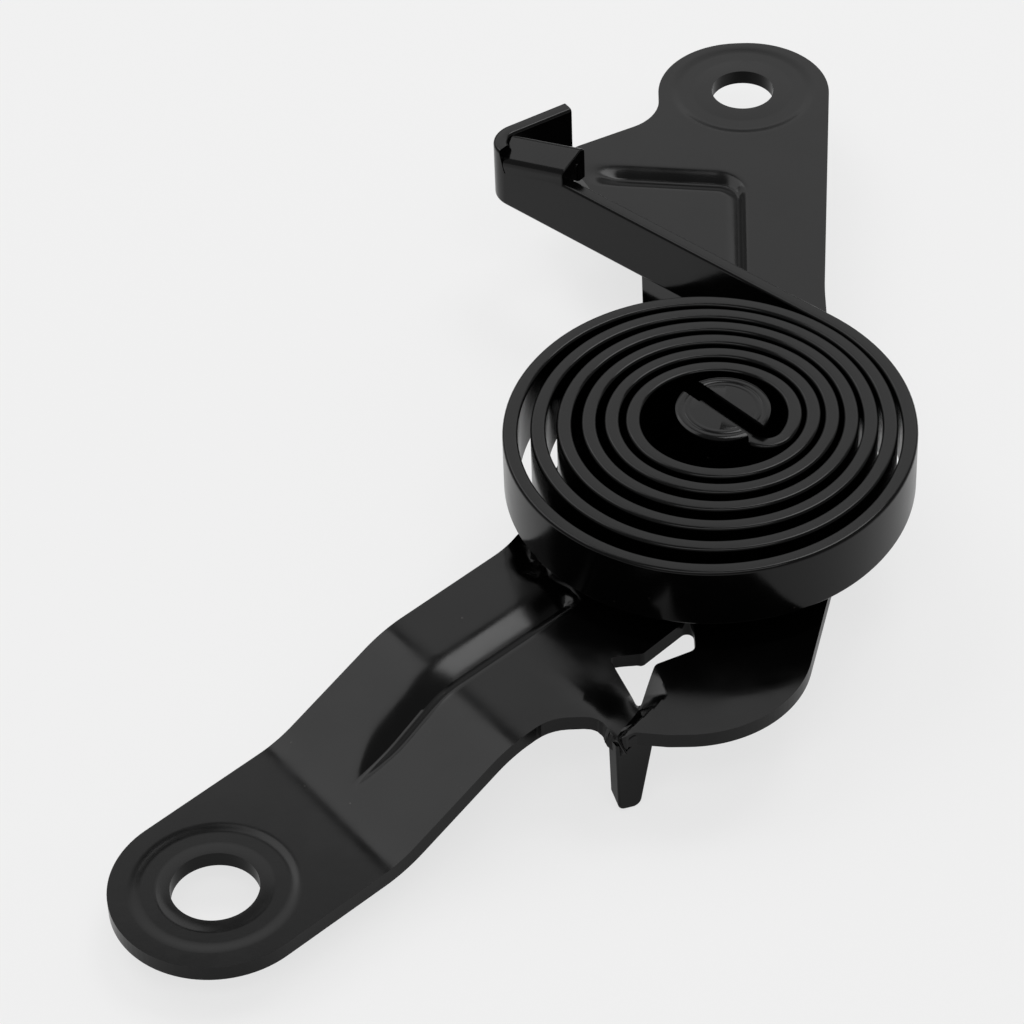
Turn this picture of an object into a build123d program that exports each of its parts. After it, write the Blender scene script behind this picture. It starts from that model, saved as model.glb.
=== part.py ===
from build123d import *
import os
from math import atan2, cos, degrees, radians, sin, sqrt, tan

# Everything is in millimetres, +Z is up. The shapes are laid out from the stud's axis at the plate's top
# face, and moved at the end so that the origin is the lower hole's centre on its seat's underside.

# sheet steel bracket
sheet = 2.15
ramp_rise = 6.8
ramp_foot = -69.6
ramp_top = -51.35
ramp_heading = 35.5
bend_inside = 12.0

# lower ear and the strap that leads to it
low_ear = (-65.4, -62.15)
strap_half = 13.1
strap_heading = 42.0
low_hole = 11.0

# upper ear
top_ear = (8.3, 83.6)
top_ear_radius = 12.3
top_hole = 9.0
top_hole_at = (8.3, 84.5)
ear_flare = 1.4

# pressed seats round the two holes: sunk on top, and standing out below as the pads that bear on the body
seat_radius = 9.6
seat_depth = 0.35
seat_edge = 0.5
collar_radius = 7.4
collar_drop = 0.05

# pressed beads: a lopsided vee on the top face and the same vee standing out below
strap_bead = (3.2, 1.5, 1.0)
corner_bead = (2.2, 1.4, 0.9)

# leg that stands down from the front edge, turned a little to the right
leg_corner = (-15.9, -46.9)
leg_turn = 27.0
leg_width = 5.1
leg_end = -13.2
leg_step = -10.2
leg_foot = (-15.6, -13.5)
valley_depth = 1.2
valley_foot = (-15.9, -47.5)
valley_top = (-12.8, -38.9)
valley_tip = (-10.3, -33.8)

# stud
stud_radius = 6.3
stud_top = 12.5
shank_radius = 4.5
shank_room = 0.05
head_radius = 6.6
head_height = 1.6
slot_width = 2.75
slot_room = 0.03
slot_heading = -49.5

# strip spring
strip = 2.0
strip_width = 9.0
strip_edge = 0.45
coil_bottom = 2.0
coil_start = (0.74, 0.95)
first_quarters = (8.61, 11.02, 10.01, 12.12)
quarter_growth = (2.847, 2.337, 3.031, 2.316)
growth_gain = 0.0595
quarter_count = 25
join_angle = 47.5
arm_length = 61.1
arm_ease = 0.7
hook_radius = 3.2
hook_turn = 106.3
return_length = 9.4
tang_length = 9.4
tang_radius = 3.0

# lug folded over the hook from the arm's upper edge
lug_tilt = 17.0
lug_root_end = 46.0
lug_root_length = 10.1
lug_reach = 4.9
lug_rise = 3.5
lug_bend = 2.5
lug_lip = 5.6
lug_skew = 1.4
lug_slit = 0.7
relief_radius = 1.2


def heading(angle):
    return Vector(cos(radians(angle)), sin(radians(angle)), 0)


def rounded(points, plane=Plane.XY):
    """A face from corners (x, y, radius): straight lines with a true arc at every corner that has a radius."""
    count = len(points)
    cuts = []
    for i, (x, y, r) in enumerate(points):
        here = Vector(x, y)
        back = (Vector(*points[i - 1][:2]) - here).normalized()
        ahead = (Vector(*points[(i + 1) % count][:2]) - here).normalized()
        half = radians(back.get_angle(ahead)) / 2
        reach = r / tan(half) if r else 0
        middle = here + (back + ahead).normalized() * (r / sin(half) - r) if r else here
        cuts.append((here + back * reach, middle, here + ahead * reach, r))
    edges = []
    for i, (start, middle, end, r) in enumerate(cuts):
        if r:
            edges.append(ThreePointArc(start, middle, end))
        following = cuts[(i + 1) % count][0]
        if (following - end).length > 0.01:
            edges.append(Line(end, following))
    return plane * make_face(Curve() + edges)


# plan outline
along = heading(strap_heading)
across = heading(strap_heading + 90)
ear = Vector(*low_ear)
ear_left = ear - along * strap_half + across * strap_half
ear_right = ear - along * strap_half - across * strap_half
neck_turn = ear + across * strap_half + along * 62.6
strap_end = ear - across * strap_half + along * 43.8
ear_radius = strap_half - 0.02
outline = rounded([
    (ear_left.X, ear_left.Y, ear_radius),
    (ear_right.X, ear_right.Y, ear_radius),
    (strap_end.X, strap_end.Y, 6.0),
    (-17.1, strap_end.Y, 3.0),
    (-17.1, -46.3, 0.6),
    (5.6, -46.7, 16.0),
    (14.9, -12.0, 30.0),
    (16.5, 38.3, 60.0),
    (top_ear[0] + top_ear_radius + ear_flare, top_ear[1] + top_ear_radius, top_ear_radius - 0.4),
    (top_ear[0] - top_ear_radius, top_ear[1] + top_ear_radius, top_ear_radius - 0.4),
    (top_ear[0] - top_ear_radius, 78.6, 7.0),
    (-16.4, 73.7, 2.0),
    (-8.3, 42.0, 8.0),
    (-9.6, 34.0, 10.0),
    (neck_turn.X, neck_turn.Y, 16.0),
])
blank = Pos(0, 0, -30) * extrude(outline, 40)

# side view of the sheet: low ear, ramp, plate
slope = atan2(ramp_rise, ramp_top - ramp_foot)
shift = sheet * tan(slope / 2)
bend_outside = bend_inside + sheet
side_plane = Plane(origin=(0, 0, 0), x_dir=heading(ramp_heading), z_dir=heading(ramp_heading - 90))
side = rounded([
    (-120, -ramp_rise, 0),
    (ramp_foot, -ramp_rise, bend_inside),
    (ramp_top, 0, bend_outside),
    (120, 0, 0),
    (120, -sheet, 0),
    (ramp_top + shift, -sheet, bend_inside),
    (ramp_foot + shift, -ramp_rise - sheet, bend_outside),
    (-120, -ramp_rise - sheet, 0),
], side_plane)
bracket = extrude(side, 130, both=True) & blank


def bead(points, radius, profile):
    """A vee along a path on the top face: one body to take away above and one to add below."""
    left_wall, right_wall, depth = profile
    path = Wire(FilletPolyline(*points, radius=radius).edges())
    start = path.position_at(0)
    tangent = path.tangent_at(0)
    frame = Plane(origin=start, x_dir=Vector(0, 0, 1).cross(tangent), z_dir=tangent)
    lift = 0.1
    vee = frame * make_face(Polyline((-right_wall, lift), (left_wall, lift), (0, -depth), close=True))
    under = frame * make_face(Polyline((-right_wall, -sheet + lift), (left_wall, -sheet + lift),
                                       (0, -sheet - depth), close=True))
    top = sweep(vee, path=path, transition=Transition.ROUND)
    low = sweep(under, path=path, transition=Transition.ROUND)
    return top, low


# straight bead on the strap's centre line, over the top of the ramp
def on_strap(distance):
    place = ear + along * distance
    run = place.dot(heading(ramp_heading))
    rise = min(1, max(0, (run - ramp_foot) / (ramp_top - ramp_foot)))
    return (place.X, place.Y, -ramp_rise * (1 - rise))


bend_distance = (ramp_top - ear.dot(heading(ramp_heading))) / along.dot(heading(ramp_heading))
bead_bend = bend_outside / cos(radians(strap_heading - ramp_heading)) ** 2
strap_vee, strap_ridge = bead([on_strap(23.5), on_strap(bend_distance), on_strap(59.0)], bead_bend, strap_bead)

# bead that turns a corner below the upper ear
corner_vee, corner_ridge = bead([(-11.6, 64.2, 0), (6.2, 62.4, 0), (5.6, 38.0, 0)], 4.5, corner_bead)

bracket = bracket + (strap_ridge & blank) + corner_ridge - strap_vee - corner_vee

# window
window = rounded([
    (-5.2, -25.6, 1.3),
    (-4.6, -31.4, 2.0),
    (-11.2, -33.9, 0.8),
    (-12.8, -39.8, 0.6),
    (-16.0, -31.7, 0.6),
    (-12.2, -31.9, 0.8),
])
bracket -= Pos(0, 0, -10) * extrude(window, 20)

# leg: a flat tab under the front edge
leg_plane = Plane(origin=(leg_corner[0], leg_corner[1], leg_end), x_dir=heading(leg_turn), z_dir=(0, 0, 1))
leg_section = leg_plane * Rectangle(leg_width, sheet, align=(Align.MIN, Align.MIN))
leg = extrude(leg_section, -leg_end - 0.6)
leg_side = leg_corner[0] - sheet * sin(radians(leg_turn))
leg_reach = leg_width * cos(radians(leg_turn))
mask = rounded([
    (leg_side - 0.2, 0.5, 0),
    (leg_side - 0.1, leg_step, 0.6),
    (leg_foot[0], leg_end, 0.9),
    (leg_foot[1], leg_end, 1.1),
    (leg_corner[0] + leg_reach + 0.1, 0.5, 0),
], Plane.XZ)
leg = leg & (Pos(0, -30, 0) * extrude(mask, 40, both=True))
root = extrude(rounded([
    (-17.1, -43.0, 0),
    (-17.1, leg_corner[1] + 0.1, 0.9),
    (leg_corner[0] + 2.0, leg_corner[1] + 0.1, 0.9),
    (leg_corner[0] + leg_reach, -46.3, 0),
    (leg_corner[0] + leg_reach, -43.0, 0),
]), -sheet)
bracket = bracket + leg + root

# valley that runs from the window into the leg, with a right wall that widens beside the window
valley_start = Vector(*valley_foot, 0.05)
valley_mid = Vector(*valley_top, 0.05)
run = valley_mid - valley_start


def valley_section(origin, left_wall, right_wall):
    frame = Plane(origin=origin, x_dir=Vector(0, 0, 1).cross(run), z_dir=run)
    return frame * make_face(Polyline((left_wall, 0), (-right_wall, 0), (0, -valley_depth), close=True))


low_valley = loft([valley_section(valley_start, 1.4, 1.4), valley_section(valley_mid, 1.8, 2.9)])
high_valley = loft([valley_section(valley_mid, 1.8, 2.9), Vertex(*valley_tip, 0.05)])
bracket = bracket - low_valley - high_valley

# holes and their pressed seats
def seat(place, level, hole):
    """Takes out the hole and the pressed ring, whose inner side climbs back to the hole's rim."""
    r = hole / 2
    shape = make_face(Polyline(
        (0, -sheet - 2), (r, -sheet - 2), (r, -collar_drop), (collar_radius, -seat_depth),
        (seat_radius - seat_edge, -seat_depth), (seat_radius, 0), (seat_radius, 1), (0, 1), close=True))
    return Pos(place[0], place[1], level) * revolve(Plane.XZ * shape, Axis.Z)


def pad(place, level):
    """The ring that stands out below the seat."""
    shape = make_face(Polyline((0, -sheet - seat_depth), (seat_radius - seat_edge, -sheet - seat_depth),
                               (seat_radius, -sheet), (seat_radius, -sheet + 0.5), (0, -sheet + 0.5), close=True))
    return Pos(place[0], place[1], level) * revolve(Plane.XZ * shape, Axis.Z)


for place, level, hole in ((low_ear, -ramp_rise, low_hole), (top_hole_at, 0, top_hole)):
    bracket = bracket + pad(place, level) - seat(place, level, hole)
bracket -= Pos(0, 0, -sheet - 1) * extrude(Circle(shank_radius + shank_room), sheet + 2)

# stud: slotted round head over the plate, shank through it, riveted head below
profile = make_face(Polyline(
    (0, -sheet - head_height), (head_radius - 1.4, -sheet - head_height), (head_radius, -sheet - 0.5),
    (head_radius, -sheet), (shank_radius, -sheet), (shank_radius, 0), (stud_radius, 0),
    (stud_radius, stud_top - 0.5), (stud_radius - 0.5, stud_top), (0, stud_top), close=True))
stud = revolve(Plane.XZ * profile, Axis.Z)
slot = Box(4 * stud_radius, slot_width, stud_top, align=(Align.CENTER, Align.CENTER, Align.MIN))
stud -= Pos(0, 0, coil_bottom - 0.3) * Rot(0, 0, slot_heading) * slot

# spring path in plan: tang in the slot, quarter arcs, arm, hook
centre = Vector(*coil_start)
angle = join_angle - 90
arcs = []
for k in range(quarter_count):
    turn, side_of = divmod(k, 4)
    radius = first_quarters[side_of] + quarter_growth[side_of] * turn + growth_gain * turn * turn
    if arcs:
        centre = centre + heading(angle) * (arcs[-1][1] - radius)
    arcs.append((centre, radius, angle))
    angle += 90

# the tang's arc touches the slot's middle line and the first quarter from inside
slot_dir = heading(slot_heading)
slot_left = heading(slot_heading + 90)
first_centre, first_radius, _ = arcs[0]
gap = first_radius - tang_radius
tang_side = strip / 2 + slot_room - slot_width / 2
side_step = tang_side + tang_radius - first_centre.dot(slot_left)
forward = first_centre.dot(slot_dir) + sqrt(gap * gap - side_step * side_step)
tang_line = slot_left * tang_side
tang_centre = tang_line + slot_dir * forward + slot_left * tang_radius
meet = degrees(atan2(tang_centre.Y - first_centre.Y, tang_centre.X - first_centre.X))
tang_turn = meet - (slot_heading - 90)


def arc(middle, radius, start, sweep_angle):
    return CenterArc(middle, radius, start, sweep_angle)


edges = [Line(tang_line + slot_dir * (forward - tang_length), tang_line + slot_dir * forward)]
edges.append(arc(tang_centre, tang_radius, slot_heading - 90, tang_turn))
edges.append(arc(first_centre, first_radius, meet, join_angle - meet))
for centre, radius, start in arcs[1:-1]:
    edges.append(arc(centre, radius, start, 90))
last_centre, last_radius, last_start = arcs[-1]
edges.append(arc(last_centre, last_radius, last_start, 90 - arm_ease))
tip_angle = last_start + 90 - arm_ease
arm_root = last_centre + heading(tip_angle) * last_radius
arm_dir = heading(tip_angle + 90)
arm_tip = arm_root + arm_dir * (arm_length - hook_radius * tan(radians(hook_turn / 2)))
edges.append(Line(arm_root, arm_tip))
hook_centre = arm_tip - heading(tip_angle) * -hook_radius
edges.append(arc(hook_centre, hook_radius, tip_angle + 180, -hook_turn))
hook_end = hook_centre + heading(tip_angle + 180 - hook_turn) * hook_radius
return_dir = heading(tip_angle + 90 - hook_turn)
edges.append(Line(hook_end, hook_end + return_dir * return_length))
path = Pos(0, 0, coil_bottom + strip_width / 2) * Wire(edges)
section_plane = Plane(origin=path.position_at(0), x_dir=slot_left, z_dir=slot_dir)
section = section_plane * RectangleRounded(strip, strip_width, strip_edge)
spring = sweep(section, path=path)

# lug: an arched fold whose root line climbs along the arm's face to its upper edge
face_out = heading(tip_angle + 180)
to_coil = -arm_dir
axis = to_coil * cos(radians(lug_tilt)) + Vector(0, 0, sin(radians(lug_tilt)))
back = -face_out
root = arm_root + arm_dir * lug_root_end + face_out * (strip / 2) + Vector(0, 0, coil_bottom + strip_width)
lug_plane = Plane(origin=root, x_dir=back, z_dir=axis)
fold = rounded([
    (0, -3.2, 0), (0, lug_rise, lug_bend), (lug_reach, lug_rise, 1.6), (lug_reach, lug_rise - lug_lip, 0),
    (lug_reach - strip, lug_rise - lug_lip, 0), (lug_reach - strip, lug_rise - strip, 0.3),
    (strip, lug_rise - strip, 0.5), (strip, -3.2, 0),
], lug_plane)
lug = extrude(fold, -lug_root_length - 2 * lug_skew)
above = Plane(origin=root, x_dir=back, z_dir=axis.cross(back))
left_side = above * make_face(Polyline(
    (-1, lug_root_length), (0, lug_root_length), (lug_reach, lug_root_length + lug_skew),
    (12, lug_root_length + lug_skew), (12, 30), (-1, 30), close=True))
lug -= extrude(left_side, 20, both=True)

# the arm is cut away above the fold line, with a round relief where the fold meets the edge
room = lug_plane * (Pos(0.5, 5) * Rectangle(strip + 2.2, 10))
spring -= extrude(room, -lug_root_length - lug_slit)
relief_at = root - face_out * 5 + to_coil * (relief_radius * 0.9) + Vector(0, 0, 0.3)
relief = Plane(origin=relief_at, x_dir=to_coil, z_dir=face_out) * Circle(relief_radius)
spring -= extrude(relief, 10)
spring += lug

# from the stud's frame to the lower hole's
to_origin = Pos(-low_ear[0], -low_ear[1], ramp_rise + sheet + seat_depth)

os.makedirs("parts", exist_ok=True)
for name, piece in (("bracket", bracket), ("stud", stud), ("spring", spring)):
    shape = to_origin * piece
    export_step(shape, f"parts/{name}.step")
    box = shape.bounding_box()
    print(name, "valid", shape.is_valid, "solids", len(shape.solids()), "volume", round(shape.volume, 1),
          "from", [round(v, 2) for v in box.min], "to", [round(v, 2) for v in box.max])
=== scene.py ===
from math import atan2, ceil, cos, hypot, pi, radians, sin, sqrt, tan

import bmesh
import bpy
from mathutils import Matrix, Vector


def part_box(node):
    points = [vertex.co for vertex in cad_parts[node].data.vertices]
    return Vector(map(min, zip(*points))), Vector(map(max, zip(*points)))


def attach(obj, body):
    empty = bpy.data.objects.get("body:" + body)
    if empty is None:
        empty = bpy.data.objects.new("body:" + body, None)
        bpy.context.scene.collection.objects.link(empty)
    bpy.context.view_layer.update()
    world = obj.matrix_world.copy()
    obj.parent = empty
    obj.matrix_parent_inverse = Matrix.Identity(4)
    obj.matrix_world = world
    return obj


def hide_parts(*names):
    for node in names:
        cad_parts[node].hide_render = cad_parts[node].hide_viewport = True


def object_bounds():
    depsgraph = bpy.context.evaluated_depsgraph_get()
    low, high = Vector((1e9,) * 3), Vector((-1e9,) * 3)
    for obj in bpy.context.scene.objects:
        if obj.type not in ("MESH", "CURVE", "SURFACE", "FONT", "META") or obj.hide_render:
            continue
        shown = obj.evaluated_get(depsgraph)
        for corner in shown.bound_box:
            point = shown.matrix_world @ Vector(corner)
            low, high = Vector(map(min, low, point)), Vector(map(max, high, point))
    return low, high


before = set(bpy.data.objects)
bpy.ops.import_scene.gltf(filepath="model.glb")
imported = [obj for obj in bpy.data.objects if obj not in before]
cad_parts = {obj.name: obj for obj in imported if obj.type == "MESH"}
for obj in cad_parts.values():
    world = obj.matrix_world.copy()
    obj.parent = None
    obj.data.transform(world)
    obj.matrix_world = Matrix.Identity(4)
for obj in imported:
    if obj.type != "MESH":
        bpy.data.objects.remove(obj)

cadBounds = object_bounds()
scene = bpy.context.scene
scene.view_settings.view_transform = "Standard"

# All shapes are laid out in mm from the stud's axis at the plate's top face, then moved into the frame.
studTop = 12.5
studLow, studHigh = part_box("stud")
layoutOrigin = Vector((
    (studLow.x + studHigh.x) / 2,
    (studLow.y + studHigh.y) / 2,
    studHigh.z - studTop / 1000,
))
toFrame = Matrix.Translation(layoutOrigin) @ Matrix.Scale(0.001, 4)
up = Vector((0, 0, 1))


def heading(degreesAngle):
    return Vector((cos(radians(degreesAngle)), sin(radians(degreesAngle)), 0))


def smooth(t):
    t = min(1, max(0, t))
    return t * t * (3 - 2 * t)


def fromHex(code):
    parts = [int(code[i:i + 2], 16) / 255 for i in (0, 2, 4)]
    return tuple(p / 12.92 if p <= 0.04045 else ((p + 0.055) / 1.055) ** 2.4 for p in parts) + (1.0,)


# adds a node: settings are its properties or its sockets' values, links are the sockets that feed it
def addNode(tree, kind, settings=None, links=None):
    node = tree.nodes.new(kind)
    for key, value in (settings or {}).items():
        if isinstance(key, str) and hasattr(node, key):
            setattr(node, key, value)
        else:
            node.inputs[key].default_value = value
    for key, socket in (links or {}).items():
        tree.links.new(socket, node.inputs[key])
    return node


def newMaterial(name):
    material = bpy.data.materials.new(name)
    material.use_nodes = True
    material.node_tree.nodes.clear()
    return material, material.node_tree


# Cathodic electrocoat over steel: a thin black paint that flows out glossy, with a faint orange peel.
# Sizes are in mm, and scales are the swells or cells in a mm.
electrocoat = {
    "colour": "020202",
    "dust": "5c5a57",
    "roughness": 0.15,
    "smootherBy": 0.03,
    "rougherBy": 0.05,
    "cloudScale": 0.12,
    "ior": 1.36,
    "peelSize": 1.6,
    "peelHeight": 0.01,
    "peelStrength": 0.35,
    "speckScale": 0.55,
    "speckSize": 0.22,
    "speckShare": (0.82, 0.9),
}


def blackElectrocoat(name, dustAmount):
    material, tree = newMaterial(name)
    coords = addNode(tree, "ShaderNodeTexCoord")
    place = addNode(tree, "ShaderNodeMapping", {"Scale": (1000, 1000, 1000)},
                    {"Vector": coords.outputs["Object"]})
    peel = addNode(tree, "ShaderNodeTexNoise", {"Scale": 1 / electrocoat["peelSize"], "Detail": 3.0},
                   {"Vector": place.outputs["Vector"]})
    bump = addNode(tree, "ShaderNodeBump", {
        "Strength": electrocoat["peelStrength"],
        "Distance": electrocoat["peelHeight"] / 1000,
    }, {"Height": peel.outputs["Fac"]})
    cloud = addNode(tree, "ShaderNodeTexNoise", {"Scale": electrocoat["cloudScale"], "Detail": 4.0},
                    {"Vector": place.outputs["Vector"]})
    rough = addNode(tree, "ShaderNodeMapRange", {
        "From Min": 0.35,
        "From Max": 0.65,
        "To Min": electrocoat["roughness"] - electrocoat["smootherBy"],
        "To Max": electrocoat["roughness"] + electrocoat["rougherBy"],
    }, {"Value": cloud.outputs["Fac"]})

    # dust lies in a few of the cells, as small soft dots
    speck = addNode(tree, "ShaderNodeTexVoronoi", {"Scale": electrocoat["speckScale"]},
                    {"Vector": place.outputs["Vector"]})
    dot = addNode(tree, "ShaderNodeMapRange", {
        "From Min": electrocoat["speckSize"] / 4,
        "From Max": electrocoat["speckSize"] / 2,
        "To Min": dustAmount,
        "To Max": 0.0,
    }, {"Value": speck.outputs["Distance"]})
    few = addNode(tree, "ShaderNodeMapRange", {
        "From Min": electrocoat["speckShare"][0],
        "From Max": electrocoat["speckShare"][1],
    }, {"Value": speck.outputs["Color"]})
    dust = addNode(tree, "ShaderNodeMath", {"operation": "MULTIPLY"},
                   {0: dot.outputs["Result"], 1: few.outputs["Result"]})
    colour = addNode(tree, "ShaderNodeMix", {
        "data_type": "RGBA",
        6: fromHex(electrocoat["colour"]),
        7: fromHex(electrocoat["dust"]),
    }, {0: dust.outputs["Value"]})
    shader = addNode(tree, "ShaderNodeBsdfPrincipled", {"IOR": electrocoat["ior"]}, {
        "Base Color": colour.outputs[2],
        "Roughness": rough.outputs["Result"],
        "Normal": bump.outputs["Normal"],
    })
    addNode(tree, "ShaderNodeOutputMaterial", None, {"Surface": shader.outputs["BSDF"]})
    return material


sheetCoat = blackElectrocoat("blackElectrocoatOnSheet", dustAmount=0.5)
stripCoat = blackElectrocoat("blackElectrocoatOnStrip", dustAmount=0.15)
studCoat = blackElectrocoat("blackElectrocoatOnStud", dustAmount=0.3)
print("materials ready")


def onlyOf(kind, geometry):
    return [g for g in geometry if isinstance(g, kind)]


# closed line through corners (x, y, radius), with an arc at each corner that has a radius
def roundedLoop(bm, corners, arcStep=0.6):
    first, last = None, None
    for i, (x, y, r) in enumerate(corners):
        here = Vector((x, y, 0))
        back = (Vector((*corners[i - 1][:2], 0)) - here).normalized()
        ahead = (Vector((*corners[(i + 1) % len(corners)][:2], 0)) - here).normalized()
        half = back.angle(ahead) / 2
        start = bm.verts.new(here + back * (r / tan(half) if r else 0))
        if last:
            bm.edges.new((last, start))
        first, last = first or start, start
        if r:
            turn = (pi - 2 * half) * (1 if back.cross(ahead).z < 0 else -1)
            centre = here + (back + ahead).normalized() * (r / sin(half))
            steps = max(2, ceil(abs(turn) * r / arcStep))
            arc = bmesh.ops.spin(bm, geom=[start], cent=centre, axis=(0, 0, 1), angle=turn, steps=steps)
            last = onlyOf(bmesh.types.BMVert, arc["geom_last"])[0]
    bm.edges.new((last, first))


def finishPiece(bm, name, node, material):
    bmesh.ops.transform(bm, matrix=toFrame, verts=bm.verts)
    mesh = bpy.data.meshes.new(name)
    bm.to_mesh(mesh)
    bm.free()
    mesh.materials.append(material)
    mesh.shade_smooth()
    piece = bpy.data.objects.new(name, mesh)
    scene.collection.objects.link(piece)
    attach(piece, "root")
    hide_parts(node)
    return piece


def cutterFrom(bm, name):
    bmesh.ops.recalc_face_normals(bm, faces=bm.faces)
    bmesh.ops.transform(bm, matrix=toFrame, verts=bm.verts)
    mesh = bpy.data.meshes.new(name)
    bm.to_mesh(mesh)
    bm.free()
    cutter = bpy.data.objects.new(name, mesh)
    scene.collection.objects.link(cutter)
    return cutter


def addModifier(piece, name, kind, **settings):
    modifier = piece.modifiers.new(name, kind)
    for key, value in settings.items():
        setattr(modifier, key, value)


# puts the result of the modifiers into the mesh
def applyModifiers(piece):
    shape = piece.evaluated_get(bpy.context.evaluated_depsgraph_get())
    mesh = bpy.data.meshes.new_from_object(shape)
    old = piece.data
    piece.modifiers.clear()
    piece.data = mesh
    bpy.data.meshes.remove(old)


def booleanWith(piece, others):
    for operation, other in others:
        addModifier(piece, other.name, "BOOLEAN", operation=operation, object=other, solver="EXACT")
    applyModifiers(piece)
    for _, other in others:
        bpy.data.objects.remove(other)


# adds another closed shell to the piece's own mesh
def joinShell(piece, other):
    bm = bmesh.new()
    bm.from_mesh(piece.data)
    bm.from_mesh(other.data)
    bm.to_mesh(piece.data)
    bm.free()
    bpy.data.objects.remove(other)


rimSize, rimAngle = 0.25, 1.2


# closed tab of sheet: its outline pushed out along Z, with the sheared rims rounded
def sheetTab(outline, arcStep, depth):
    bm = bmesh.new()
    roundedLoop(bm, outline, arcStep)
    bmesh.ops.contextual_create(bm, geom=bm.edges)
    out = bmesh.ops.extrude_face_region(bm, geom=bm.faces)
    bmesh.ops.translate(bm, vec=(0, 0, depth), verts=onlyOf(bmesh.types.BMVert, out["geom"]))
    bmesh.ops.recalc_face_normals(bm, faces=bm.faces)
    rims = [e for e in bm.edges if e.calc_face_angle(0) > rimAngle
            and abs(e.verts[0].co.z - e.verts[1].co.z) < 0.01]
    bmesh.ops.bevel(bm, geom=rims, affect="EDGES", offset=rimSize, segments=3, profile=0.5, material=-1)
    return bm


# The spring is a strip coiled on edge, with a tang in the stud, a straight arm, a hook and a folded lug.
spring = {
    "thickness": 2.0,
    "width": 9.0,
    "edge": 0.45,
    "bottom": 2.0,
    "coilStart": (0.74, 0.95),
    "firstQuarters": (8.61, 11.02, 10.01, 12.12),
    "quarterGrowth": (2.847, 2.337, 3.031, 2.316),
    "growthGain": 0.0595,
    "quarterCount": 25,
    "joinAngle": 47.5,
    "armLength": 61.1,
    "armEase": 0.7,
    "hookRadius": 3.2,
    "hookTurn": 106.3,
    "returnLength": 9.4,
    "tangLength": 9.4,
    "tangRadius": 3.0,
    "slotWidth": 2.75,
    "slotRoom": 0.03,
    "slotHeading": -49.5,
}

lug = {
    "tilt": 17.0,
    "rootEnd": 46.0,
    "rootLength": 11.3,
    "rootDepth": 3.2,
    "reach": 4.9,
    "rise": 4.1,
    "frontRise": 1.9,
    "bend": 1.3,
    "farBend": 0.9,
    "innerBend": 0.2,
    "farThinning": 0.8,
    "lip": 5.6,
    "lipEdge": 0.3,
    "skew": 1.4,
    "slit": 0.03,
    "relief": 0.06,
    "roomExtra": 2.2,
    "roomHeight": 10.0,
}


# a rounded rectangle standing at the origin: across is X, up is Y; returns its edges
def stripSection(bm, thickness, width, edge):
    x, y = thickness / 2, width / 2
    before = set(bm.edges)
    roundedLoop(bm, [(-x, -y, edge), (x, -y, edge), (x, y, edge), (-x, y, edge)], arcStep=edge * 0.4)
    return [e for e in bm.edges if e not in before]


def placeSection(bm, edges, origin, sideways, upwards):
    turn = Matrix((sideways, upwards, sideways.cross(upwards))).transposed().to_4x4()
    verts = list({v for e in edges for v in e.verts})
    bmesh.ops.transform(bm, matrix=Matrix.Translation(origin) @ turn, verts=verts)


def pushSection(bm, edges, move):
    out = bmesh.ops.extrude_edge_only(bm, edges=edges)
    bmesh.ops.translate(bm, verts=onlyOf(bmesh.types.BMVert, out["geom"]), vec=move)
    return onlyOf(bmesh.types.BMEdge, [g for g in out["geom"] if isinstance(g, bmesh.types.BMEdge)
                                       and all(v in out["geom"] for v in g.verts)])


def turnSection(bm, edges, centre, axis, angle, steps):
    out = bmesh.ops.spin(bm, geom=edges, cent=centre, axis=axis, angle=angle, steps=steps)
    return onlyOf(bmesh.types.BMEdge, out["geom_last"])


def endLoop(bm, edges):
    bmesh.ops.contextual_create(bm, geom=edges)


def springPath():
    centre, angle, arcs = Vector((*spring["coilStart"], 0)), spring["joinAngle"] - 90, []
    for k in range(spring["quarterCount"]):
        turn, side = divmod(k, 4)
        radius = (spring["firstQuarters"][side] + spring["quarterGrowth"][side] * turn
                  + spring["growthGain"] * turn * turn)
        if arcs:
            centre = centre + heading(angle) * (arcs[-1][1] - radius)
        arcs.append((centre, radius))
        angle += 90
    return arcs, angle - spring["armEase"]


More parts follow.
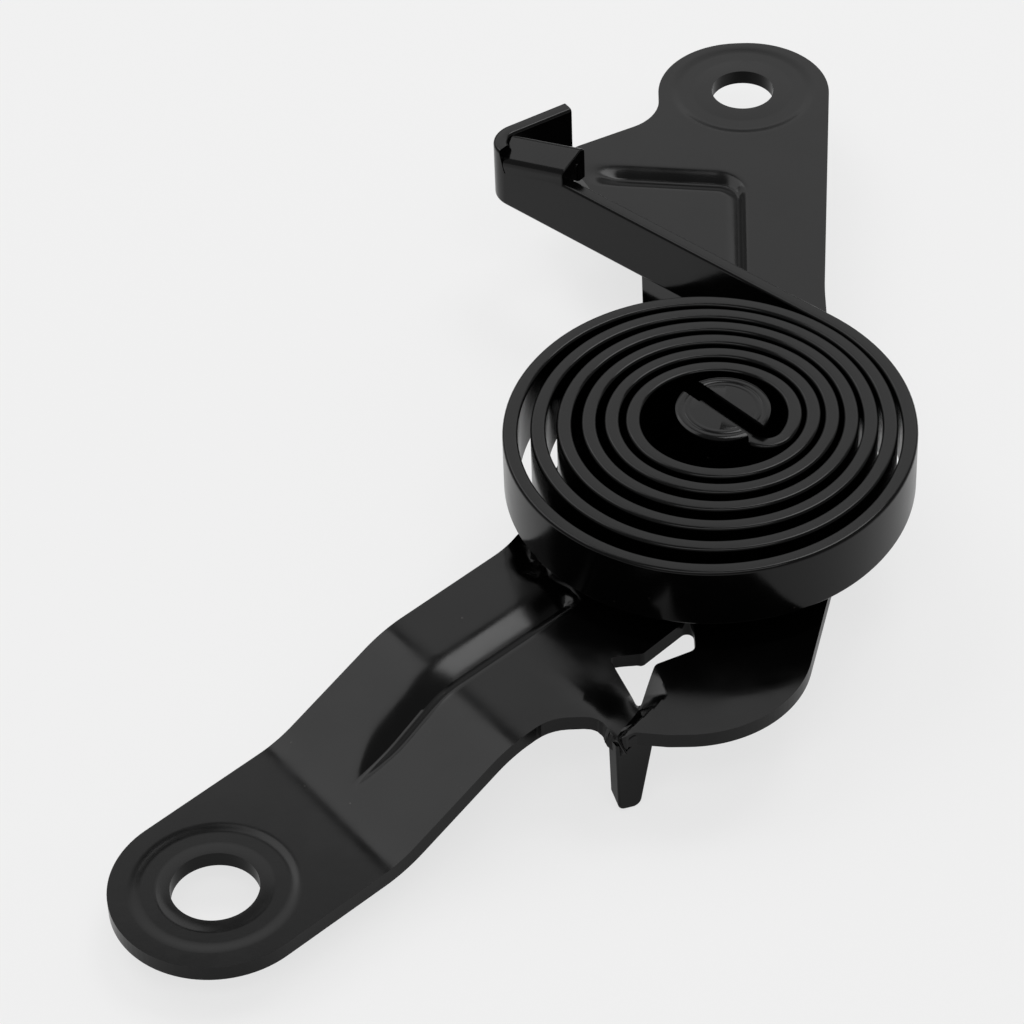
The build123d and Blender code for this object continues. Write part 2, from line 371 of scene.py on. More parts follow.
def buildStrip():
    bm = bmesh.new()
    level = up * (spring["bottom"] + spring["width"] / 2)
    arcs, tipAngle = springPath()
    ahead, left = heading(spring["slotHeading"]), heading(spring["slotHeading"] + 90)

    # the tang lies along the slot's side and its arc touches the first quarter from inside
    firstCentre, firstRadius = arcs[0]
    side = spring["thickness"] / 2 + spring["slotRoom"] - spring["slotWidth"] / 2
    gap = firstRadius - spring["tangRadius"]
    sideStep = side + spring["tangRadius"] - firstCentre.dot(left)
    forward = firstCentre.dot(ahead) + sqrt(gap * gap - sideStep * sideStep)
    tangCentre = left * (side + spring["tangRadius"]) + ahead * forward
    meet = atan2(tangCentre.y - firstCentre.y, tangCentre.x - firstCentre.x)

    ring = stripSection(bm, spring["thickness"], spring["width"], spring["edge"])
    placeSection(bm, ring, left * side + ahead * (forward - spring["tangLength"]) + level, left, up)
    endLoop(bm, ring)
    ring = pushSection(bm, ring, ahead * spring["tangLength"])
    ring = turnSection(bm, ring, tangCentre, up, meet - radians(spring["slotHeading"] - 90), 14)
    ring = turnSection(bm, ring, firstCentre, up, radians(spring["joinAngle"]) - meet, 18)
    for centre, radius in arcs[1:-1]:
        ring = turnSection(bm, ring, centre, up, pi / 2, ceil(18 + radius * 0.6))
    lastCentre, lastRadius = arcs[-1]
    ring = turnSection(bm, ring, lastCentre, up, radians(90 - spring["armEase"]), 34)

    outward, alongArm = heading(tipAngle), heading(tipAngle + 90)
    armRoot = lastCentre + outward * lastRadius
    straight = spring["armLength"] - spring["hookRadius"] * tan(radians(spring["hookTurn"] / 2))
    ring = pushSection(bm, ring, alongArm * straight)
    hookCentre = armRoot + alongArm * straight + outward * spring["hookRadius"]
    ring = turnSection(bm, ring, hookCentre, up, -radians(spring["hookTurn"]), 24)
    ring = pushSection(bm, ring, heading(tipAngle + 90 - spring["hookTurn"]) * spring["returnLength"])
    endLoop(bm, ring)
    bmesh.ops.recalc_face_normals(bm, faces=bm.faces)
    return finishPiece(bm, "spiralStrip", "spring", stripCoat), armRoot, outward, alongArm


# what is cut away from the arm above the fold line
def armRoom(root, outward, turn):
    length = lug["rootLength"] + lug["slit"]
    bm = bmesh.new()
    bmesh.ops.create_cube(bm, size=1)
    bmesh.ops.scale(bm, vec=(spring["thickness"] + lug["roomExtra"], lug["roomHeight"], length),
                    verts=bm.verts)
    bmesh.ops.translate(bm, vec=(0.5, lug["roomHeight"] / 2, -length / 2), verts=bm.verts)
    bmesh.ops.transform(bm, matrix=Matrix.Translation(root + outward * 0.6) @ turn, verts=bm.verts)
    return cutterFrom(bm, "armRoom")


# round relief at the fold's lower end
def foldRelief(root, toCoil):
    bm = bmesh.new()
    bmesh.ops.create_cone(bm, cap_ends=True, segments=32, radius1=lug["relief"], radius2=lug["relief"],
                          depth=10)
    acrossArm = Matrix((toCoil, up, toCoil.cross(up))).transposed().to_4x4()
    at = root + toCoil * (lug["relief"] * 0.9) + up * 0.3
    bmesh.ops.transform(bm, matrix=Matrix.Translation(at) @ acrossArm, verts=bm.verts)
    return cutterFrom(bm, "relief")


# the fold goes up from the arm, over to the back and down as a lip
def lugFold(root, outward, rise, axis, turn):
    far, top, thick = lug["reach"], lug["rise"], spring["thickness"]
    inner, lipEnd = far - thick * lug["farThinning"], top - lug["lip"]
    length = lug["rootLength"] + lug["skew"]
    outline = [
        (0, -lug["rootDepth"], 0),
        (thick, -lug["rootDepth"], 0),
        (thick, lug["frontRise"] - thick, lug["innerBend"]),
        (inner, top - thick, lug["innerBend"]),
        (inner, lipEnd, lug["lipEdge"]),
        (far, lipEnd, lug["lipEdge"]),
        (far, top, lug["farBend"]),
        (0, lug["frontRise"], lug["bend"]),
    ]
    bm = sheetTab(outline, 0.15, -length)
    bmesh.ops.transform(bm, matrix=Matrix.Translation(root + axis * lug["slit"]) @ turn, verts=bm.verts)
    # the hook's end of the fold is cut on a skew, the coil's end stands upright
    for v in bm.verts:
        local = v.co - root
        if local.dot(axis) < -length / 2:
            v.co -= axis * (lug["skew"] * (min(1, max(0, local.dot(outward) / lug["reach"])) - 1))
        else:
            v.co += axis * (local.dot(rise) * tan(radians(lug["tilt"])))
    return cutterFrom(bm, "lugFold")


def buildSpring():
    piece, armRoot, outward, alongArm = buildStrip()
    tilt, toCoil = radians(lug["tilt"]), -alongArm
    axis = toCoil * cos(tilt) + up * sin(tilt)
    rise = axis.cross(outward)
    turn = Matrix((outward, rise, axis)).transposed().to_4x4()
    root = (armRoot + alongArm * lug["rootEnd"] - outward * (spring["thickness"] / 2)
            + up * (spring["bottom"] + spring["width"]))
    booleanWith(piece, [
        ("DIFFERENCE", armRoom(root, outward, turn)),
        ("DIFFERENCE", foldRelief(root, toCoil)),
        ("UNION", lugFold(root, outward, rise, axis, turn)),
    ])
    print("spring", len(piece.data.polygons), "faces")
    return piece


# The stud is a turned pin with a slotted head, riveted under the plate. Two fine rings are turned into
# its top face: each starts, is deepest and ends at these distances from the rim.
stud = {
    "radius": 6.3,
    "edge": 0.5,
    "shank": 4.5,
    "plate": 2.15,
    "headRadius": 6.6,
    "headEdge": 0.5,
    "headTaper": 1.4,
    "headHeight": 1.6,
    "slotFloor": 1.7,
    "rings": ((1.1, 1.25, 1.4), (1.9, 2.0, 2.1)),
    "ringDepths": (0.06, 0.03),
}


def studProfile():
    r, edge, head, low = stud["radius"], stud["edge"], stud["headRadius"], -stud["plate"]
    corners = [
        (0, low - stud["headHeight"]),
        (head - stud["headTaper"], low - stud["headHeight"]),
        (head, low - stud["headEdge"]),
        (head, low),
        (stud["shank"], low),
        (stud["shank"], 0),
        (r, 0),
        (r, studTop - edge),
        (r - edge * 0.3, studTop - edge * 0.3),
        (r - edge, studTop),
    ]
    for (start, middle, end), depth in zip(stud["rings"], stud["ringDepths"]):
        corners += [(r - start, studTop), (r - middle, studTop - depth), (r - end, studTop)]
    return corners + [(0, studTop)]


def buildStud():
    bm = bmesh.new()
    verts = [bm.verts.new((x, 0, z)) for x, z in studProfile()]
    edges = [bm.edges.new(pair) for pair in zip(verts, verts[1:])]
    bmesh.ops.spin(bm, geom=verts + edges, cent=(0, 0, 0), axis=(0, 0, 1), angle=2 * pi, steps=96,
                   use_merge=True)
    bmesh.ops.remove_doubles(bm, verts=bm.verts, dist=0.001)
    bmesh.ops.recalc_face_normals(bm, faces=bm.faces)
    piece = finishPiece(bm, "slottedStud", "stud", studCoat)

    bm = bmesh.new()
    bmesh.ops.create_cube(bm, size=1)
    bmesh.ops.scale(bm, vec=(4 * stud["radius"], spring["slotWidth"], studTop), verts=bm.verts)
    bmesh.ops.translate(bm, vec=(0, 0, stud["slotFloor"] + studTop / 2), verts=bm.verts)
    turn = Matrix.Rotation(radians(spring["slotHeading"]), 3, "Z")
    bmesh.ops.rotate(bm, cent=(0, 0, 0), matrix=turn, verts=bm.verts)
    booleanWith(piece, [("DIFFERENCE", cutterFrom(bm, "slot"))])
    print("stud", len(piece.data.polygons), "faces")
    return piece


# The bracket is a pressed sheet with two ears, a ramp, three beads, a window and a leg.
bracket = {
    "sheet": 2.15,
    "rampRise": 6.8,
    "rampFoot": -69.6,
    "rampTop": -51.35,
    "rampHeading": 35.5,
    "bendInside": 16.0,
    "lowEar": (-65.4, -62.15),
    "strapHalf": 13.1,
    "strapHeading": 42.0,
    "lowHole": 5.5,
    "topEar": (8.3, 83.6),
    "topEarRadius": 12.3,
    "topHole": 4.5,
    "topHoleAt": (8.3, 84.5),
    "earFlare": 1.4,
    "discRadius": 10.8,
    "lowSeat": 0.16,
    "topSeat": 0.14,
    "rimBevel": 0.22,
    "rimAngle": 55.0,
}

discCorners = 96
ear = Vector((*bracket["lowEar"], 0))
along, across = heading(bracket["strapHeading"]), heading(bracket["strapHeading"] + 90)
rampAlong = heading(bracket["rampHeading"])

# creases of the two long pressed beads, in plan
beads = {
    "strapStart": 21.5,
    "strapBend": 38.0,
    "strapEnd": 59.6,
    "strapTaper": 9.0,
    "strapLeft": 4.6,
    "strapRight": 2.0,
    "strapDepth": 1.0,
    "strapPoint": 0.35,
    "creaseSides": (-0.3, 0.85, 0.6),
    "cornerStart": (-11.6, 65.5),
    "cornerTurn": (6.35, 62.8),
    "cornerEnd": (5.2, 41.0),
    "cornerRadius": 3.4,
    "cornerDepth": 0.9,
    "cornerTop": 70.0,
    "cornerLow": 36.0,
    "cornerLeft": -16.0,
    "outerWidths": (2.6, 1.1),
    "innerWidths": (2.5, 2.1),
}


# height of the bent sheet along the ramp's run
def rampHeight(run):
    rise, foot, top = bracket["rampRise"], bracket["rampFoot"], bracket["rampTop"]
    slope = atan2(rise, top - foot)
    inner, outer = bracket["bendInside"], bracket["bendInside"] + bracket["sheet"]
    tanFoot, tanTop = inner * tan(slope / 2), outer * tan(slope / 2)
    if run <= foot - tanFoot:
        return -rise
    if run < foot + tanFoot * cos(slope):
        return -rise + inner - sqrt(inner * inner - (run - foot + tanFoot) ** 2)
    if run <= top - tanTop * cos(slope):
        return -rise + (run - foot) * tan(slope)
    if run < top + tanTop:
        return -outer + sqrt(outer * outer - (run - top - tanTop) ** 2)
    return 0


# sideways place of the strap bead's crease, at its start, its bend and its end
def strapCrease(s):
    start, bend, end = beads["creaseSides"]
    if s < beads["strapBend"]:
        share = (s - beads["strapStart"]) / (beads["strapBend"] - beads["strapStart"])
        return start + (bend - start) * share
    share = (s - beads["strapBend"]) / (beads["strapEnd"] - beads["strapBend"])
    return bend + (end - bend) * share


def creaseSide(s):
    return strapCrease(min(beads["strapEnd"], max(beads["strapStart"], s)))


def strapBead(x, y):
    place = Vector((x, y, 0)) - ear
    s, v = place.dot(along), place.dot(across)
    past = max(s - beads["strapEnd"], 0)
    v -= creaseSide(s)
    # the groove runs out to a point at its lower end and has a round upper end
    taper = smooth((s - beads["strapStart"]) / beads["strapTaper"])
    width, power = (beads["strapLeft"], 2.0) if v > 0 else (beads["strapRight"], 1.5)
    width *= beads["strapPoint"] + (1 - beads["strapPoint"]) * taper
    if past:
        width = beads["strapRight"] + (width - beads["strapRight"]) * abs(v) / hypot(v, past)
    u = hypot(v, past) / width
    return -beads["strapDepth"] * taper * (1 - u) ** power if u < 1 else 0


# distance to the corner bead's crease, positive on its outer side, the run past its ends, and the share
# run round its corner
def cornerOffset(x, y):
    start, turn, end = (Vector(beads[key]) for key in ("cornerStart", "cornerTurn", "cornerEnd"))
    here = Vector((x, y))
    back, ahead = (start - turn).normalized(), (end - turn).normalized()
    half = back.angle(ahead) / 2
    reach = beads["cornerRadius"] / tan(half)
    centre = turn + (back + ahead).normalized() * (beads["cornerRadius"] / sin(half))
    runBack, runAhead = (here - turn).dot(back), (here - turn).dot(ahead)
    outBack = Vector((back.y, -back.x)).dot(here - turn)
    outAhead = Vector((-ahead.y, ahead.x)).dot(here - turn)
    backLength, aheadLength = (start - turn).length, (end - turn).length
    if runBack > reach and runBack >= runAhead:
        return outBack, max(0, runBack - backLength), 0.0
    if runAhead > reach and runAhead > runBack:
        return outAhead, max(0, runAhead - aheadLength), 1.0
    toCentre = here - centre
    share = min(1, max(0, (atan2(toCentre.x, toCentre.y) - 0.15) / 1.4))
    return toCentre.length - beads["cornerRadius"], 0, share


def cornerBead(x, y):
    if y < beads["cornerLow"] or y > beads["cornerTop"] or x < beads["cornerLeft"]:
        return 0
    offset, past, share = cornerOffset(x, y)
    first, last = beads["outerWidths"] if offset > 0 else beads["innerWidths"]
    width = first + (last - first) * share
    u = hypot(offset, past) / width
    return -beads["cornerDepth"] * (1 - u) ** 1.5 if u < 1 else 0


seatRing = {
    "outer": 10.6,
    "flatOuter": 9.1,
    "flatInner": 7.3,
    "rimDrop": 0.05,
}


# pressed ring round a hole: a soft step down, a flat ring and an inner slope that climbs to the rim
def seat(distance, hole, depth):
    outer, flatOuter, flatInner = seatRing["outer"], seatRing["flatOuter"], seatRing["flatInner"]
    if distance > outer:
        return 0
    if distance > flatOuter:
        return -depth * (1 - smooth((distance - flatOuter) / (outer - flatOuter)))
    if distance > flatInner:
        return -depth
    climb = sin(pi / 2 * (flatInner - distance) / (flatInner - hole))
    return -depth + (depth - seatRing["rimDrop"]) * climb


# The sheet dips towards the window's left side. A short crease runs from there down to the leg, and
# its right wall ends in a crisp ridge.
valley = {
    "dipHeading": 35.0,
    "dipStart": -39.6,
    "dipSlope": 0.2,
    "dipOnset": 0.8,
    "dipEnd": (-41.0, -28.0),
    "windowTip": -16.3,
    "windowFade": 0.8,
    "rightEnd": -6.0,
    "foot": (-15.5, -45.0),
    "top": (-12.9, -40.3),
    "depth": 0.5,
    "leftWall": 2.2,
    "ridgeFoot": (-14.2, -45.0),
    "ridgeTip": (-9.4, -39.3),
    "facetTip": (-10.4, -33.8),
}


# signed distance from the line through two plan points, positive on its right side, and the share run
# along it
def besideLine(x, y, start, end):
    run = Vector(end) - Vector(start)
    here = Vector((x, y)) - Vector(start)
    return (here.x * run.y - here.y * run.x) / run.length, here.dot(run) / run.length_squared


def dipHeight(x, y):
    run = max(0, Vector((x, y, 0)).dot(heading(valley["dipHeading"])) - valley["dipStart"])
    low, high = valley["dipEnd"]
    beyond = y + valley["windowFade"] * max(0, x - valley["windowTip"])
    fade = smooth((beyond - low) / (high - low))
    return -valley["dipSlope"] * run * run / (run + valley["dipOnset"]) * (1 - fade)


def valleyHeight(x, y):
    foot, top = Vector(valley["foot"]), Vector(valley["top"])
    side, share = besideLine(x, y, foot, top)
    if side <= 0 and x < top.x + 0.1:
        depth = valley["depth"] * (1 - smooth(share - 1))
        return dipHeight(x, y) - depth * max(0, 1 + side / valley["leftWall"]) ** 2
    # the right wall climbs from the crease to the ridge, then to the facet's edge beside the window
    ridge, _ = besideLine(x, y, valley["ridgeFoot"], valley["ridgeTip"])
    facet, _ = besideLine(x, y, valley["ridgeTip"], valley["facetTip"])
    reach = min(-ridge, -facet)
    if reach <= 0:
        return 0
    upper, climb = besideLine(x, y, top, valley["facetTip"])
    if climb >= 1:
        return 0
    if climb > 0:
        lowest = top.lerp(Vector(valley["facetTip"]), climb)
        side, fall = max(0, upper), 1 - climb
    else:
        lowest, fall = foot.lerp(top, share), 1
    return fall * (dipHeight(*lowest) - valley["depth"]) * reach / (reach + side)


leg = {
    "corner": (-15.9, -46.9),
    "turn": 27.0,
    "topWidth": 5.6,
    "end": -13.2,
    "step": -10.3,
}


# a short groove whose lower end shows beside the coil
shortBead = {
    "start": (-25.3, -7.0),
    "end": (-25.7, -15.4),
    "width": 2.0,
    "depth": 0.9,
}


def shortBeadHeight(x, y):
    side, share = besideLine(x, y, shortBead["start"], shortBead["end"])
    length = (Vector(shortBead["end"]) - Vector(shortBead["start"])).length
    u = hypot(side, max(-share, share - 1, 0) * length) / shortBead["width"]
    return -shortBead["depth"] * (1 - u) ** 1.4 if u < 1 else 0


def sheetHeight(x, y):
    z = rampHeight(Vector((x, y, 0)).dot(rampAlong)) + strapBead(x, y) + cornerBead(x, y)
    if x < valley["rightEnd"] and y < valley["dipEnd"][1]:
        z += valleyHeight(x, y)
    z += shortBeadHeight(x, y)
    z += seat(hypot(x - ear.x, y - ear.y), bracket["lowHole"], bracket["lowSeat"])
    z += seat(hypot(x - bracket["topHoleAt"][0], y - bracket["topHoleAt"][1]), bracket["topHole"],
              bracket["topSeat"])
    return z


def bracketOutline():
    half, top, r = bracket["strapHalf"], bracket["topEar"], bracket["topEarRadius"]
    earLeft = ear - along * half + across * half
    earRight = ear - along * half - across * half
    strapEnd = ear - across * half + along * 43.8
    neck = ear + across * half + along * 62.6
    return [
        (earLeft.x, earLeft.y, half - 0.02),
        (earRight.x, earRight.y, half - 0.02),
        (strapEnd.x, strapEnd.y, 6.0),
        (-17.1, strapEnd.y, 3.0),
        (-16.9, -45.1, 0.4),
        (-15.9, -46.85, 0.3),
        (-13.7, -45.6, 0.5),
        (-9.6, -46.3, 4.0),
        (5.6, -46.9, 16.0),
        (14.9, -12.0, 30.0),
        (16.5, 38.3, 60.0),
        (top[0] + r + bracket["earFlare"], top[1] + r, r - 0.4),
        (top[0] - r, top[1] + r, r - 0.4),
        (top[0] - r, 78.6, 7.0),
        (-18.6, 71.4, 3.0),
        (-8.3, 47.0, 8.0),
        (-8.7, 34.0, 10.0),
        (neck.x, neck.y, 16.0),
    ]


windowCorners = [
    (-5.35, -25.3, 0.9),
    (-5.4, -31.5, 1.2),
    (-10.6, -33.9, 1.2),
    (-12.95, -40.6, 0.4),
    (-16.3, -32.0, 0.5),
    (-12.0, -31.9, 0.8),
]


# positions from low to high, close together inside the fine stretches
def spaced(low, high, coarse, stretches):
    places, at = [], low
    while at < high:
        places.append(at)
        step = min([size for start, end, size in stretches if start - 0.01 <= at < end] or [coarse])
        ends = [start - at for start, end, size in stretches if start > at + 0.01]
        at += min([step] + ends)
    return places


def cutAcross(bm, faces, origin, direction, places):
    for p in places:
        geometry = list({g for f in faces for g in (f, *f.edges, *f.verts)})
        out = bmesh.ops.bisect_plane(bm, geom=geometry, dist=0.0001, plane_co=origin + direction * p,
                                     plane_no=direction)
        faces = onlyOf(bmesh.types.BMFace, out["geom"])
    return faces


def facesWhere(faces, test):
    return [f for f in faces if test(f.calc_center_median())]


# The sheet's mesh has three zones, each with a grid that follows its own creases: the strap, the plate
# and the upper ear's side.
zones = {
    "strapEnd": 64.0,
    "strapSide": -13.6,
    "upperStart": 31.0,
    "wide": 1.6,
    "upperWide": 1.7,
    "middling": 0.6,
    "fine": 0.4,
}

plateFoot = Vector((*valley["foot"], 0))
plateAlong = (Vector((*valley["top"], 0)) - plateFoot).normalized()
plateAcross = Vector((plateAlong.y, -plateAlong.x, 0))
ridgeFoot, ridgeTip, facetTip = (
    Vector((*valley[key], 0)) for key in ("ridgeFoot", "ridgeTip", "facetTip"))
cornerStart, cornerTurn, cornerEnd = (
    Vector((*beads[key], 0)) for key in ("cornerStart", "cornerTurn", "cornerEnd"))
besideStart = Vector((-(cornerTurn - cornerStart).y, (cornerTurn - cornerStart).x, 0)).normalized()
besideEnd = Vector(((cornerEnd - cornerTurn).y, -(cornerEnd - cornerTurn).x, 0)).normalized() * -1


def inStrap(place, slack=0.0):
    place = place - ear
    return place.dot(along) < zones["strapEnd"] + slack and place.dot(across) > zones["strapSide"] - slack


def fillOutline():
    bm = bmesh.new()
    roundedLoop(bm, bracketOutline(), arcStep=0.9)
    roundedLoop(bm, windowCorners, arcStep=0.3)
    for at in (bracket["lowEar"], bracket["topHoleAt"]):
        bmesh.ops.create_circle(bm, segments=discCorners, radius=bracket["discRadius"],
                                matrix=Matrix.Translation((*at, 0)))
    bmesh.ops.triangle_fill(bm, use_beauty=True, edges=bm.edges, normal=(0, 0, 1))
    return bm


def cutZones(bm):
    faces = cutAcross(bm, list(bm.faces), ear, along, [zones["strapEnd"]])
    strap = facesWhere(faces, lambda c: (c - ear).dot(along) < zones["strapEnd"])
    strap = cutAcross(bm, strap, ear, across, [zones["strapSide"]])
    strap = facesWhere(strap, lambda c: (c - ear).dot(across) > zones["strapSide"])
    kept = set(strap)
    others = [f for f in bm.faces if f not in kept]
    others = cutAcross(bm, others, Vector(), Vector((0, 1, 0)), [zones["upperStart"]])
    upper = facesWhere(others, lambda c: c.y > zones["upperStart"])
    lower = facesWhere(others, lambda c: c.y < zones["upperStart"])
    return strap, lower, upper


def gridStrap(bm, faces):
    wide, middling, fine = zones["wide"], zones["middling"], zones["fine"]
    runs = spaced(-13, zones["strapEnd"] - 0.5, wide,
                  [(13.5, 31, middling), (32, 44, middling), (55.5, 62.3, fine)])
    cutAcross(bm, faces, ear, along, runs)
    faces = facesWhere(bm.faces, inStrap)
    cutAcross(bm, faces, ear, across, spaced(-12.6, 13, wide, [(-2.4, 5.2, fine)]))


def gridPlate(bm, faces):
    wide, fine = zones["wide"], zones["fine"]
    cutAcross(bm, faces, plateFoot, plateAcross, spaced(-24, 40, wide, [(-4.0, 5.2, fine)]))
    faces = facesWhere(bm.faces, lambda c: c.y < zones["upperStart"] and not inStrap(c))
    cutAcross(bm, faces, plateFoot, plateAlong, spaced(-20, 80, wide, [(-4.0, 14.0, fine)]))
    for start, end in ((ridgeFoot, ridgeTip), (ridgeTip, facetTip)):
        line = (end - start).normalized()
        near = facesWhere(bm.faces, lambda c: -0.6 < (c - start).dot(line) < (end - start).length + 0.4
                          and abs((c - start).cross(line).z) < 1.0)
        cutAcross(bm, near, start, Vector((line.y, -line.x, 0)), [0])


def gridUpper(bm, faces):
    wide, fine = zones["upperWide"], zones["fine"]
    cutAcross(bm, faces, cornerTurn, besideStart, spaced(-36, 40, wide, [(-5.6, 3.2, fine)]))
    faces = facesWhere(bm.faces, lambda c: c.y > zones["upperStart"])
    cutAcross(bm, faces, cornerTurn, besideEnd, spaced(-24, 20, wide, [(-6.0, 2.4, fine)]))


def gridShortBead(bm):
    def nearBead(c):
        return -28.5 < c.x < -23 and -20 < c.y < -5

    cutAcross(bm, facesWhere(bm.faces, nearBead), plateFoot, plateAcross, spaced(-26, 0, zones["fine"], []))
    cutAcross(bm, facesWhere(bm.faces, nearBead), plateFoot, plateAlong, spaced(10, 50, zones["fine"], []))


# drops the fill's slanted edges, so that each cell of the grid is one face
def dropSlanted(bm):
    strapWays = (along, across)
    plateWays = (plateAlong, plateAcross, (ridgeTip - ridgeFoot).normalized(),
                 (facetTip - ridgeTip).normalized())
    upperWays = (besideStart.cross(up), besideEnd.cross(up))

    def slanted(edge):
        middle = (edge.verts[0].co + edge.verts[1].co) / 2
        if inStrap(middle, slack=0.01):
            ways = strapWays
        else:
            ways = upperWays if middle.y > zones["upperStart"] + 0.01 else plateWays
        line = (edge.verts[1].co - edge.verts[0].co).normalized()
        return all(abs(line.dot(way)) < 0.99999 for way in ways)

    spare = [e for e in bm.edges if not e.is_boundary and e.calc_length() > 1e-4 and slanted(e)]
    bmesh.ops.dissolve_edges(bm, edges=spare, use_verts=False)
    passed = [v for v in bm.verts if len(v.link_edges) == 2 and not v.is_boundary]
    bmesh.ops.dissolve_verts(bm, verts=passed)


creasePull = {
    "start": 14.0,
    "startFade": 6.0,
    "endFade": 3.0,
    "width": 3.8,
    "widthFade": 4.0,
}


# moves the strap grid's middle line sideways onto the bead's crease
def moveOntoCrease(bm):
    start, end = creasePull["start"], zones["strapEnd"]
    for v in bm.verts:
        place = v.co - ear
        s, off = place.dot(along), place.dot(across)
        near = 1 - smooth((abs(off) - creasePull["width"]) / creasePull["widthFade"])
        if near > 0 and start < s < end - 0.1:
            fade = smooth((s - start) / creasePull["startFade"]) * smooth((end - s) / creasePull["endFade"])
            v.co += across * (creaseSide(s) * near * fade)


# a disc of rings round a hole, with the grid's lines ending on the disc's own corners
def addHoleDisc(bm, at, hole):
    radii = [hole, hole + 0.15, hole + 0.4, hole + 0.8, 6.7, 7.1, 7.3, 7.5, 8.2, 8.9, 9.1, 9.3, 9.6, 9.9,
             10.2, 10.5, bracket["discRadius"]]
    centre = Vector((*at, 0))
    for v in bm.verts:
        spoke = v.co - centre
        if abs(spoke.length - bracket["discRadius"]) < 0.05:
            cornerAngle = 2 * pi / discCorners
            turn = round(atan2(spoke.y, spoke.x) / cornerAngle) * cornerAngle
            v.co = centre + Vector((cos(turn), sin(turn), 0)) * bracket["discRadius"]
    verts = [bm.verts.new((at[0], at[1] + r, 0)) for r in radii]
    edges = [bm.edges.new(pair) for pair in zip(verts, verts[1:])]
    bmesh.ops.spin(bm, geom=verts + edges, cent=(*at, 0), axis=(0, 0, 1), angle=2 * pi,
                   steps=discCorners, use_merge=True)


def buildSheet():
    bm = fillOutline()
    strap, lower, upper = cutZones(bm)
    gridStrap(bm, strap)
    gridPlate(bm, lower)
    gridUpper(bm, upper)
    gridShortBead(bm)
    dropSlanted(bm)
    moveOntoCrease(bm)
    addHoleDisc(bm, bracket["lowEar"], bracket["lowHole"])
    addHoleDisc(bm, bracket["topHoleAt"], bracket["topHole"])
    bmesh.ops.remove_doubles(bm, verts=bm.verts, dist=0.02)
    for v in bm.verts:
        v.co.z = sheetHeight(v.co.x, v.co.y)
    bmesh.ops.recalc_face_normals(bm, faces=bm.faces)
    if sum(f.normal.z for f in bm.faces) < 0:
        bmesh.ops.reverse_faces(bm, faces=bm.faces)
    return bm


def buildLeg():
    low = leg["end"]
    outline = [
        (-0.15, -1.0, 0),
        (0.1, low + 0.7, 1.1),
        (3.2, low, 1.1),
        (leg["topWidth"], -0.4, 0),
        (2.2, -0.4, 0),
        (0.6, -1.0, 0),
    ]
    bm = sheetTab(outline, 0.25, bracket["sheet"])
    # the shears left the rear rim shorter at the outer corner
    for v in bm.verts:
        if v.co.z > bracket["sheet"] / 2 and v.co.x < 1.0 and v.co.y < leg["step"]:
            v.co.y = leg["step"] + (v.co.y - leg["step"]) * 0.15
    face = heading(leg["turn"])
    turn = Matrix((face, up, Vector((-face.y, face.x, 0)))).transposed().to_4x4()
    bmesh.ops.transform(bm, matrix=Matrix.Translation((*leg["corner"], 0)) @ turn, verts=bm.verts)
    return cutterFrom(bm, "legTab")


def buildBracket():
    piece = finishPiece(buildSheet(), "pressedBracket", "bracket", sheetCoat)
    addModifier(piece, "sheetThickness", "SOLIDIFY", thickness=bracket["sheet"] / 1000, offset=-1.0,
                use_even_offset=True)
    applyModifiers(piece)
    joinShell(piece, buildLeg())
    addModifier(piece, "shearedRims", "BEVEL", width=bracket["rimBevel"] / 1000, segments=3,
                limit_method="ANGLE", angle_limit=radians(bracket["rimAngle"]), use_clamp_overlap=True,
                harden_normals=True)
    applyModifiers(piece)
    print("bracket", len(piece.data.polygons), "faces")
    return piece


sharpAngle = 38.0
made = [buildSpring(), buildStud(), buildBracket()]
# the bracket's bevel has set its normals
for piece in made[:-1]:
    piece.data.set_sharp_from_angle(angle=radians(sharpAngle))
    addModifier(piece, "flatFacesLead", "WEIGHTED_NORMAL", weight=80, keep_sharp=True)
print("pieces ready")


# The studio has a pale floor, soft lamps and the camera where the photograph was taken from, its eye in
# the layout's mm.
studio = {
    "floorSize": 3.0,
    "floorColour": "dcdcdc",
    "cameraWhite": 0.72,
    "glossyWhite": 0.2,
    "skyStrength": 0.25,
    "eye": (-27.69, -407.55, 368.4),
    "lookDown": 42.439,
    "roll": -2.264,
    "lens": 147.66,
}


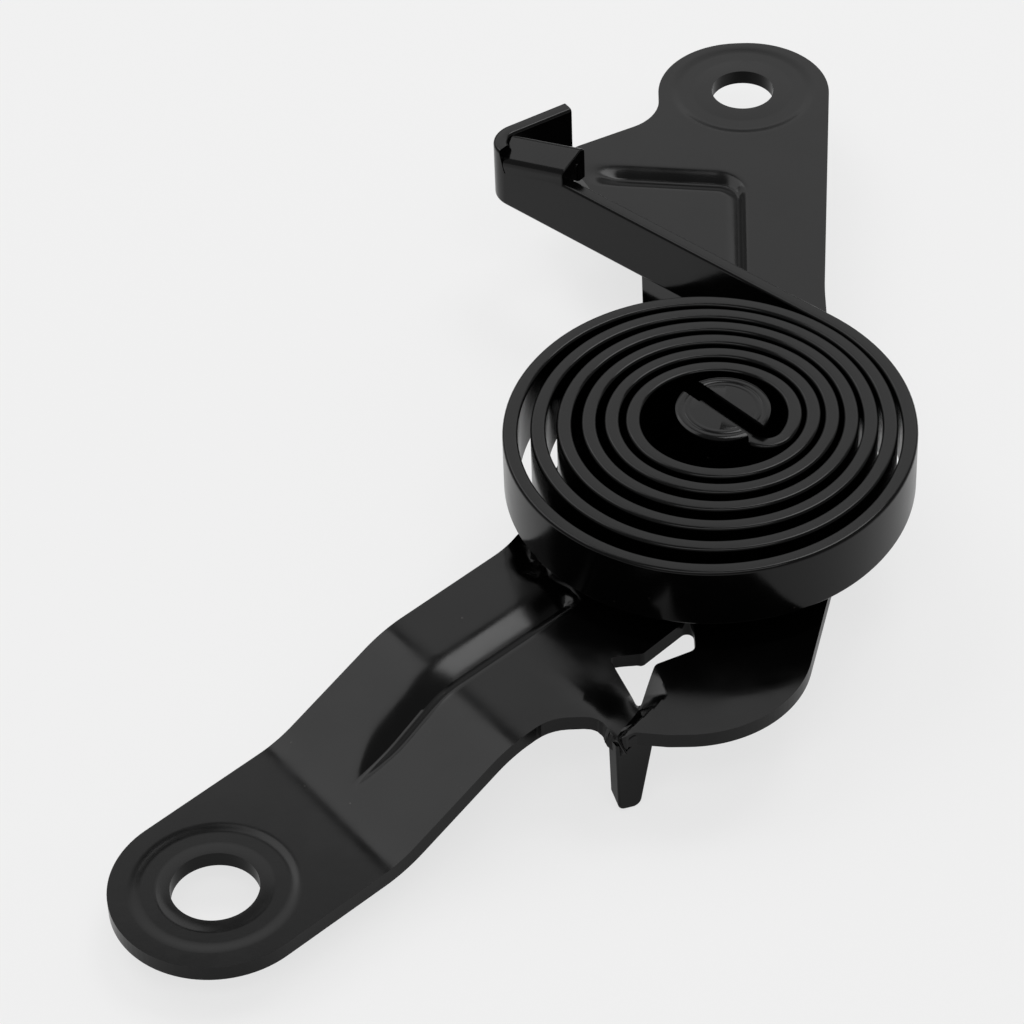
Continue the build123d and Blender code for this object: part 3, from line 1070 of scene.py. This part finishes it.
def makeFloor():
    bm = bmesh.new()
    bmesh.ops.create_grid(bm, x_segments=1, y_segments=1, size=studio["floorSize"] / 2)
    bmesh.ops.translate(bm, verts=bm.verts, vec=(layoutOrigin.x, layoutOrigin.y, cadBounds[0][2]))
    mesh = bpy.data.meshes.new("studioFloor")
    bm.to_mesh(mesh)
    bm.free()
    floor = bpy.data.objects.new("studioFloor", mesh)
    scene.collection.objects.link(floor)
    material, tree = newMaterial("paleFloor")
    # the camera and glossy coats see the floor whiter than it is lit, and it keeps the shadow
    path = addNode(tree, "ShaderNodeLightPath")
    coats = addNode(tree, "ShaderNodeMath", {"operation": "MAXIMUM"},
                    {0: path.outputs["Is Glossy Ray"], 1: path.outputs["Is Transmission Ray"]})
    share = addNode(tree, "ShaderNodeMath", {"operation": "MULTIPLY", 1: studio["glossyWhite"]},
                    {0: coats.outputs["Value"]})
    share = addNode(tree, "ShaderNodeMath", {"operation": "MULTIPLY_ADD", 1: studio["cameraWhite"]},
                    {0: path.outputs["Is Camera Ray"], 2: share.outputs["Value"]})
    shader = addNode(tree, "ShaderNodeBsdfDiffuse", {"Color": fromHex(studio["floorColour"])})
    white = addNode(tree, "ShaderNodeEmission", {"Color": (1, 1, 1, 1), "Strength": 1.0})
    mix = addNode(tree, "ShaderNodeMixShader", None,
                  {0: share.outputs["Value"], 1: shader.outputs["BSDF"], 2: white.outputs["Emission"]})
    addNode(tree, "ShaderNodeOutputMaterial", None, {"Surface": mix.outputs["Shader"]})
    mesh.materials.append(material)


# azimuth is from +Y towards +X; radiance is what a mirror would show
def softbox(name, azimuth, elevation, distance, width, height, radiance):
    data = bpy.data.lights.new(name, "AREA")
    data.shape = "RECTANGLE"
    data.size, data.size_y = width, height
    data.energy = radiance * width * height * pi
    lamp = bpy.data.objects.new(name, data)
    scene.collection.objects.link(lamp)
    level = cos(radians(elevation))
    sideways, forwards = sin(radians(azimuth)) * level, cos(radians(azimuth)) * level
    direction = Vector((sideways, forwards, sin(radians(elevation))))
    lamp.location = Vector((layoutOrigin.x, layoutOrigin.y, 0)) + direction * distance
    lamp.rotation_euler = direction.to_track_quat("Z", "Y").to_euler()


def makeWorld():
    world = bpy.data.worlds.new("room")
    world.use_nodes = True
    world.node_tree.nodes.clear()
    sky = addNode(world.node_tree, "ShaderNodeBackground",
                  {"Color": (1, 1, 1, 1), "Strength": studio["skyStrength"]})
    addNode(world.node_tree, "ShaderNodeOutputWorld", None, {"Surface": sky.outputs["Background"]})
    scene.world = world


def makeCamera():
    data = bpy.data.cameras.new("camera")
    data.sensor_width = 36.0
    data.lens = studio["lens"]
    data.clip_start = 0.01
    camera = bpy.data.objects.new("camera", data)
    scene.collection.objects.link(camera)
    eye = toFrame @ Vector(studio["eye"])
    camera.matrix_world = (Matrix.Translation(eye)
                           @ Matrix.Rotation(radians(90 - studio["lookDown"]), 4, "X")
                           @ Matrix.Rotation(radians(studio["roll"]), 4, "Z"))
    scene.camera = camera


makeFloor()
softbox("rightBackSoftbox", 32, 62, 1.2, 0.5, 0.42, 4.2)
softbox("leftBackPanel", -50, 53, 1.4, 0.9, 0.6, 1.7)
softbox("backPanel", 0, 38, 1.6, 3.0, 0.7, 0.9)
softbox("cameraSidePanel", 180, 62, 1.6, 1.4, 0.5, 2.2)
makeWorld()
makeCamera()
print("studio ready")
